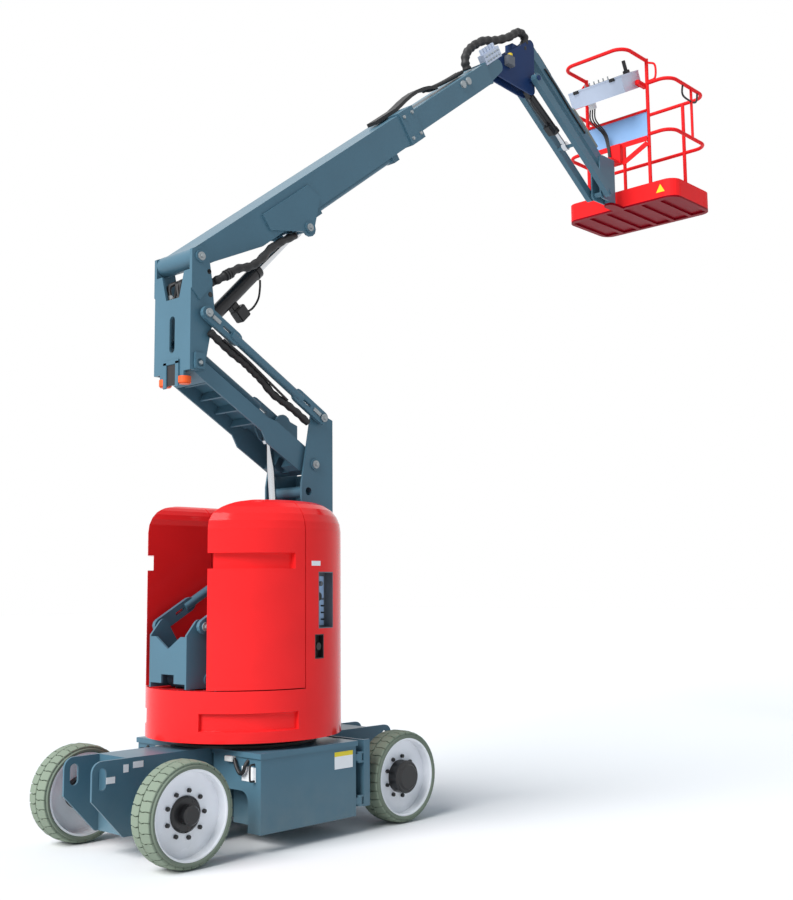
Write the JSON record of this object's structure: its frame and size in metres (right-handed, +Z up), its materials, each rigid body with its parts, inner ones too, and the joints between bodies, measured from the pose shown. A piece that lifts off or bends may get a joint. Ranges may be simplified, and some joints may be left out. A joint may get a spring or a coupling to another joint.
{
  "type": "articulating boom lift",
  "caption": "Electric articulating boom lift: wheeled chassis, slewing turret with hinged hoods, folding riser, telescopic boom, jib and turning work platform.",
  "frame": {"origin": "on the ground, on the axis that the turret turns about", "axes": "+X the way the boom reaches at rest, +Y left, +Z up"},
  "size_m": [6.2827, 1.214, 6.3033],
  "materials": {
    "grey_paint": "satin",
    "ballast_paint": "painted gloss",
    "cover_gloss": "gloss",
    "red_paint": "gloss",
    "black_iron": "painted",
    "black_paint": "satin",
    "chrome_rod": "polished",
    "tyre": "matte",
    "rim_paint": "gloss",
    "battery_case": "matte",
    "panel_plastic": "matte",
    "latch_plastic": "matte",
    "bumper_rubber": "matte",
    "hose_rubber": "matte",
    "valve_aluminium": "machined",
    "box_aluminium": "brushed",
    "panel_paint": "satin"
  },
  "bodies": {
    "chassis": {"chassis_frame": "grey_paint", "steer_axle": "grey_paint", "drive_axle": "black_iron", "slew_ring": "black_iron"},
    "knuckle_left": {"knuckle_left": "black_iron"},
    "knuckle_right": {"knuckle_right": "black_iron"},
    "tie_rod": {"tie_rod": "black_iron"},
    "wheel_steer_left": {"tyre_steer_left": "tyre", "wheel_steer_left": "rim_paint"},
    "wheel_steer_right": {"tyre_steer_right": "tyre", "wheel_steer_right": "rim_paint"},
    "wheel_drive_left": {"tyre_drive_left": "tyre", "wheel_drive_left": "rim_paint"},
    "wheel_drive_right": {"tyre_drive_right": "tyre", "wheel_drive_right": "rim_paint"},
    "tray_left": {"tray_left": "grey_paint", "tray_lid_left": "grey_paint", "battery_left": "battery_case"},
    "tray_right": {"tray_right": "grey_paint", "tray_lid_right": "grey_paint", "battery_right": "battery_case"},
    "turret": {"turret_frame": "grey_paint", "counterweight": "ballast_paint", "rear_cover_left": "cover_gloss", "rear_cover_right": "cover_gloss", "ground_controls": "panel_plastic", "hood_latches": "latch_plastic"},
    "hood_left": {"hood_left": "cover_gloss"},
    "hood_right": {"hood_right": "cover_gloss"},
    "lower_arm": {"lower_arm": "grey_paint"},
    "lower_links": {"lower_links": "grey_paint"},
    "mid_knuckle": {"mid_knuckle": "grey_paint"},
    "upper_arm": {"upper_arm": "grey_paint"},
    "upper_links": {"upper_links": "grey_paint"},
    "upright": {"upright": "grey_paint", "bumpers": "bumper_rubber"},
    "riser_barrel": {"riser_barrel": "black_paint"},
    "riser_rod": {"riser_rod": "chrome_rod"},
    "boom": {"boom_outer": "grey_paint", "hose_track": "hose_rubber"},
    "lift_barrel": {"lift_barrel": "black_paint"},
    "lift_rod": {"lift_rod": "chrome_rod"},
    "fly": {"fly": "grey_paint", "valve_block": "valve_aluminium"},
    "jib_knuckle": {"jib_knuckle": "grey_paint"},
    "jib_arms": {"jib_arms": "grey_paint"},
    "jib_link": {"jib_link": "grey_paint"},
    "jib_barrel": {"jib_barrel": "black_paint"},
    "jib_rod": {"jib_rod": "chrome_rod"},
    "jib_bracket": {"jib_bracket": "grey_paint"},
    "platform": {"platform_floor": "red_paint", "guard_rails": "red_paint", "control_box": "box_aluminium", "platform_panel": "panel_paint"}
  },
  "joints": [
    {"name": "steer", "type": "hinge", "parent": "chassis", "child": "knuckle_left", "pos_m": [-0.825, 0.35, 0.28], "axis": [0, 0, 1], "range_deg": [-40, 40]},
    {"name": "steer_right", "type": "hinge", "parent": "chassis", "child": "knuckle_right", "pos_m": [-0.825, -0.35, 0.28], "axis": [0, 0, 1], "range_deg": [-40, 40]},
    {"name": "tie_rod_pivot", "type": "hinge", "parent": "knuckle_left", "child": "tie_rod", "pos_m": [-0.665, 0.35, 0.264], "axis": [0, 0, 1], "range_deg": [-40, 40]},
    {"name": "wheel_steer_left_spin", "type": "hinge", "parent": "knuckle_left", "child": "wheel_steer_left", "pos_m": [-0.825, 0.505, 0.28], "axis": [0, 1, 0], "continuous": true},
    {"name": "wheel_steer_right_spin", "type": "hinge", "parent": "knuckle_right", "child": "wheel_steer_right", "pos_m": [-0.825, -0.505, 0.28], "axis": [0, 1, 0], "continuous": true},
    {"name": "wheel_drive_left_spin", "type": "hinge", "parent": "chassis", "child": "wheel_drive_left", "pos_m": [0.825, 0.505, 0.28], "axis": [0, 1, 0], "continuous": true},
    {"name": "wheel_drive_right_spin", "type": "hinge", "parent": "chassis", "child": "wheel_drive_right", "pos_m": [0.825, -0.505, 0.28], "axis": [0, 1, 0], "continuous": true},
    {"name": "tray_left_swing", "type": "hinge", "parent": "chassis", "child": "tray_left", "pos_m": [0.418, 0.57, 0.318], "axis": [0, 0, -1], "range_deg": [0, 95]},
    {"name": "tray_right_swing", "type": "hinge", "parent": "chassis", "child": "tray_right", "pos_m": [0.418, -0.57, 0.318], "axis": [0, 0, 1], "range_deg": [0, 95]},
    {"name": "slew", "type": "hinge", "parent": "chassis", "child": "turret", "pos_m": [0, 0, 0.585], "axis": [0, 0, 1], "range_deg": [-180, 180]},
    {"name": "hood_left_swing", "type": "hinge", "parent": "turret", "child": "hood_left", "pos_m": [-0.46813, 0.314, 1.2], "axis": [0, 0, 1], "range_deg": [0, 95]},
    {"name": "hood_right_swing", "type": "hinge", "parent": "turret", "child": "hood_right", "pos_m": [-0.46813, -0.314, 1.2], "axis": [0, 0, -1], "range_deg": [0, 95]},
    {"name": "riser_lift", "type": "hinge", "parent": "turret", "child": "lower_arm", "pos_m": [-0.41, 0, 0.935], "axis": [0, -1, 0], "range_deg": [-40, 20]},
    {"name": "lower_link_pivot", "type": "hinge", "parent": "turret", "child": "lower_links", "pos_m": [-0.48, 0, 1.24], "axis": [0, -1, 0], "range_deg": [-40, 20]},
    {"name": "mid_knuckle_pivot", "type": "hinge", "parent": "lower_arm", "child": "mid_knuckle", "pos_m": [0.52098, 0, 1.4725], "axis": [0, -1, 0], "range_deg": [-20, 40]},
    {"name": "upper_arm_pivot", "type": "hinge", "parent": "mid_knuckle", "child": "upper_arm", "pos_m": [0.42398, 0, 2.2445], "axis": [0, 1, 0], "range_deg": [-40, 20]},
    {"name": "upper_link_pivot", "type": "hinge", "parent": "mid_knuckle", "child": "upper_links", "pos_m": [0.45398, 0, 2.5445], "axis": [0, 1, 0], "range_deg": [-40, 20]},
    {"name": "upright_pivot", "type": "hinge", "parent": "upper_arm", "child": "upright", "pos_m": [-0.507, 0, 2.782], "axis": [0, 1, 0], "range_deg": [-20, 40]},
    {"name": "riser_barrel_pivot", "type": "hinge", "parent": "lower_arm", "child": "riser_barrel", "pos_m": [0.28282, 0, 1.335], "axis": [0, -1, 0], "range_deg": [-22, 44]},
    {"name": "riser_rod_slide", "type": "slide", "parent": "riser_barrel", "child": "riser_rod", "axis": [-0.0835, 0, 0.9965], "range_m": [-0.345, 0.173]},
    {"name": "boom_lift", "type": "hinge", "parent": "upright", "child": "boom", "pos_m": [-0.511, 0, 3.426], "axis": [0, -1, 0], "range_deg": [-37.2, 35.8]},
    {"name": "lift_barrel_pivot", "type": "hinge", "parent": "upright", "child": "lift_barrel", "pos_m": [-0.449, 0, 2.95], "axis": [0, -1, 0], "range_deg": [-27.9, 26.85]},
    {"name": "lift_rod_slide", "type": "slide", "parent": "lift_barrel", "child": "lift_rod", "axis": [0.6997, 0, 0.7145], "range_m": [-0.2614, 0.2516]},
    {"name": "fly_slide", "type": "slide", "parent": "boom", "child": "fly", "axis": [0.7965, 0, 0.6046], "range_m": [-0.4, 0.8]},
    {"name": "jib_knuckle_pivot", "type": "hinge", "parent": "fly", "child": "jib_knuckle", "pos_m": [2.55028, 0, 5.67807], "axis": [0, -1, 0], "range_deg": [-35.8, 37.2]},
    {"name": "jib_lift", "type": "hinge", "parent": "jib_knuckle", "child": "jib_arms", "pos_m": [3.04628, 0, 5.72407], "axis": [0, -1, 0], "range_deg": [-35.6, 104.4]},
    {"name": "jib_link_pivot", "type": "hinge", "parent": "jib_knuckle", "child": "jib_link", "pos_m": [3.04628, 0, 6.03907], "axis": [0, -1, 0], "range_deg": [-35.6, 104.4]},
    {"name": "jib_barrel_pivot", "type": "hinge", "parent": "jib_knuckle", "child": "jib_barrel", "pos_m": [3.04628, 0, 5.64407], "axis": [0, -1, 0], "range_deg": [-35.07, 102.83]},
    {"name": "jib_rod_slide", "type": "slide", "parent": "jib_barrel", "child": "jib_rod", "axis": [0.8588, 0, -0.5123], "range_m": [-0.0402, 0.1158]},
    {"name": "jib_bracket_pivot", "type": "hinge", "parent": "jib_arms", "child": "jib_bracket", "pos_m": [4.11067, 0, 4.99527], "axis": [0, -1, 0], "range_deg": [-104.4, 35.6]},
    {"name": "platform_turn", "type": "hinge", "parent": "jib_bracket", "child": "platform", "pos_m": [4.29067, 0, 5.1], "axis": [0, 0, 1], "range_deg": [-90, 90]}
  ],
  "couplings": [
    {"joint": "steer_right", "follows": "steer", "ratio": 1},
    {"joint": "tie_rod_pivot", "follows": "steer", "ratio": -1},
    {"joint": "lower_link_pivot", "follows": "riser_lift", "ratio": 1},
    {"joint": "mid_knuckle_pivot", "follows": "riser_lift", "ratio": -1},
    {"joint": "upper_arm_pivot", "follows": "riser_lift", "ratio": 1},
    {"joint": "upper_link_pivot", "follows": "riser_lift", "ratio": 1},
    {"joint": "upright_pivot", "follows": "riser_lift", "ratio": -1},
    {"joint": "riser_barrel_pivot", "follows": "riser_lift", "ratio": -1.1},
    {"joint": "riser_rod_slide", "follows": "riser_lift", "m_per_rad": 0.49274},
    {"joint": "lift_barrel_pivot", "follows": "boom_lift", "ratio": 0.75},
    {"joint": "lift_rod_slide", "follows": "boom_lift", "m_per_rad": 0.40107},
    {"joint": "jib_knuckle_pivot", "follows": "boom_lift", "ratio": -1},
    {"joint": "jib_link_pivot", "follows": "jib_lift", "ratio": 1},
    {"joint": "jib_barrel_pivot", "follows": "jib_lift", "ratio": 0.985},
    {"joint": "jib_rod_slide", "follows": "jib_lift", "m_per_rad": 0.06303},
    {"joint": "jib_bracket_pivot", "follows": "jib_lift", "ratio": -1}
  ]
}
